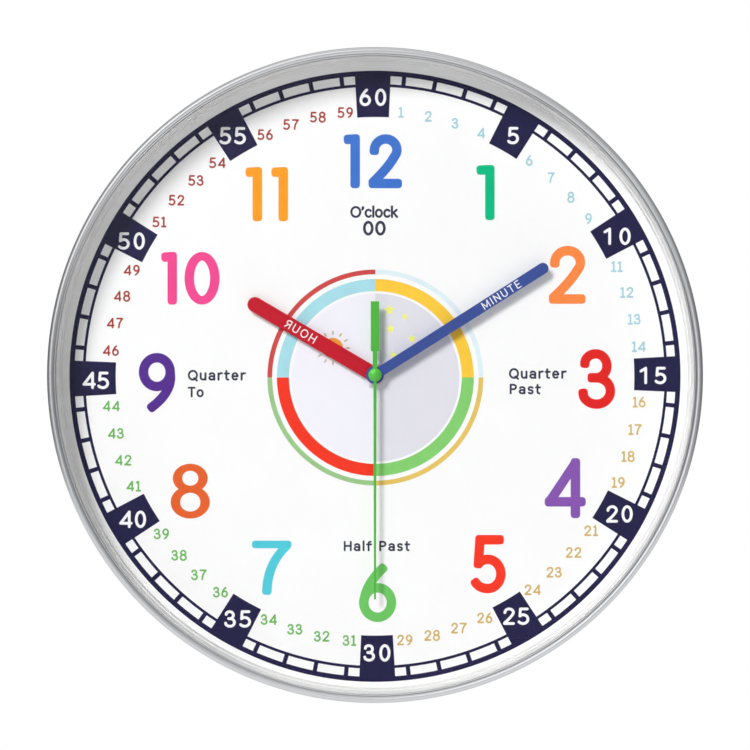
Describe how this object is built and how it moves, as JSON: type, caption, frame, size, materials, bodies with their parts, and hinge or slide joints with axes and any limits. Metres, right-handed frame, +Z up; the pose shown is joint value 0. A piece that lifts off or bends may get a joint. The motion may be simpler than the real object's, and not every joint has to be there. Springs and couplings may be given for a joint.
{
  "type": "teaching wall clock",
  "caption": "Round analogue wall clock for learning the time, with a printed dial, flat lens, slim silver frame, coloured hands and a battery quartz movement on the back.",
  "frame": {"origin": "on the hand spindle axis at the wall plane, where the rear rim of the back cover rests on the wall", "axes": "+Z up, +X right as seen from the front, +Y into the wall, so the dial faces -Y"},
  "size_m": [0.3, 0.045, 0.3],
  "materials": {
    "silver_frame": "satin with polished rolls",
    "clear_lens": "polished",
    "white_plastic": "smooth",
    "dial_card": "printed card",
    "cover_plastic": "fine texture",
    "screw_steel": "plated",
    "plate_steel": "zinc plated",
    "rubber": "matte",
    "brass": "turned",
    "white_lacquer": "lacquered white",
    "black_plastic": "fine texture",
    "cell_jacket": "plain printed jacket",
    "contact_strip": "nickel plated",
    "lamination": "rolled",
    "natural_plastic": "moulded",
    "copper_wire": "enamelled",
    "board": "solder mask",
    "magnet": "sintered",
    "green_hand": "enamelled",
    "green_plastic": "gloss",
    "contact_brass": "turned",
    "blue_hand": "enamelled",
    "red_hand": "enamelled",
    "knob_plastic": "grooved"
  },
  "bodies": {
    "case": {"bezel_ring": "silver_frame", "lens": "clear_lens", "spacer_ring": "white_plastic", "dial": "dial_card", "back_cover": "cover_plastic", "frame_screws": "screw_steel", "hanger_plate": "plate_steel", "hanger_screws": "screw_steel", "rubber_washer": "rubber", "threaded_bush": "brass", "dial_washer": "white_lacquer", "fixing_nut": "white_lacquer", "movement_front_shell": "black_plastic", "movement_rear_shell": "black_plastic", "battery": "cell_jacket", "battery_nub": "screw_steel", "positive_contact": "contact_strip", "negative_contact": "contact_strip", "stator": "lamination", "coil_core": "lamination", "coil_bobbin": "natural_plastic", "coil_winding": "copper_wire", "circuit_board": "board", "timing_chip": "black_plastic", "quartz_crystal": "screw_steel"},
    "hour": {"hour_wheel": "natural_plastic", "hour_hand": "red_hand"},
    "minute": {"centre_wheel": "natural_plastic", "centre_arbor": "contact_brass", "clutch_spring": "screw_steel", "minute_hand": "blue_hand"},
    "second": {"seconds_wheel": "natural_plastic", "seconds_arbor": "screw_steel", "second_hand": "green_hand", "second_hand_dome": "green_plastic"},
    "third": {"third_wheel": "natural_plastic"},
    "intermediate": {"intermediate_wheel": "natural_plastic"},
    "rotor": {"rotor_pinion": "natural_plastic", "rotor_magnet": "magnet"},
    "motion": {"motion_wheel": "natural_plastic"},
    "setting": {"setting_shaft": "natural_plastic", "setting_knob": "knob_plastic"}
  },
  "joints": [
    {"name": "minute_turn", "type": "hinge", "parent": "case", "child": "minute", "pos_m": [0, 0, 0], "axis": [0, 1, 0], "continuous": true},
    {"name": "hour_turn", "type": "hinge", "parent": "case", "child": "hour", "pos_m": [0, 0, 0], "axis": [0, 1, 0], "continuous": true},
    {"name": "second_turn", "type": "hinge", "parent": "case", "child": "second", "pos_m": [0, 0, 0], "axis": [0, 1, 0], "continuous": true},
    {"name": "third_turn", "type": "hinge", "parent": "case", "child": "third", "pos_m": [-0.0106, 0, 0.00612], "axis": [0, 1, 0], "continuous": true},
    {"name": "intermediate_turn", "type": "hinge", "parent": "case", "child": "intermediate", "pos_m": [0.01225, 0, 0], "axis": [0, 1, 0], "continuous": true},
    {"name": "rotor_turn", "type": "hinge", "parent": "case", "child": "rotor", "pos_m": [0.01585, 0, -0.00624], "axis": [0, 1, 0], "continuous": true},
    {"name": "motion_turn", "type": "hinge", "parent": "case", "child": "motion", "pos_m": [0.006, 0, 0.01039], "axis": [0, 1, 0], "continuous": true},
    {"name": "setting_turn", "type": "hinge", "parent": "case", "child": "setting", "pos_m": [0.01449, 0, 0.01888], "axis": [0, 1, 0], "continuous": true}
  ],
  "couplings": [
    {"joint": "hour_turn", "follows": "minute_turn", "ratio": 0.083333},
    {"joint": "motion_turn", "follows": "minute_turn", "ratio": -0.33333},
    {"joint": "setting_turn", "follows": "minute_turn", "ratio": 1},
    {"joint": "third_turn", "follows": "minute_turn", "ratio": -7.5},
    {"joint": "second_turn", "follows": "minute_turn", "ratio": 60},
    {"joint": "intermediate_turn", "follows": "minute_turn", "ratio": -360},
    {"joint": "rotor_turn", "follows": "minute_turn", "ratio": 1800}
  ]
}
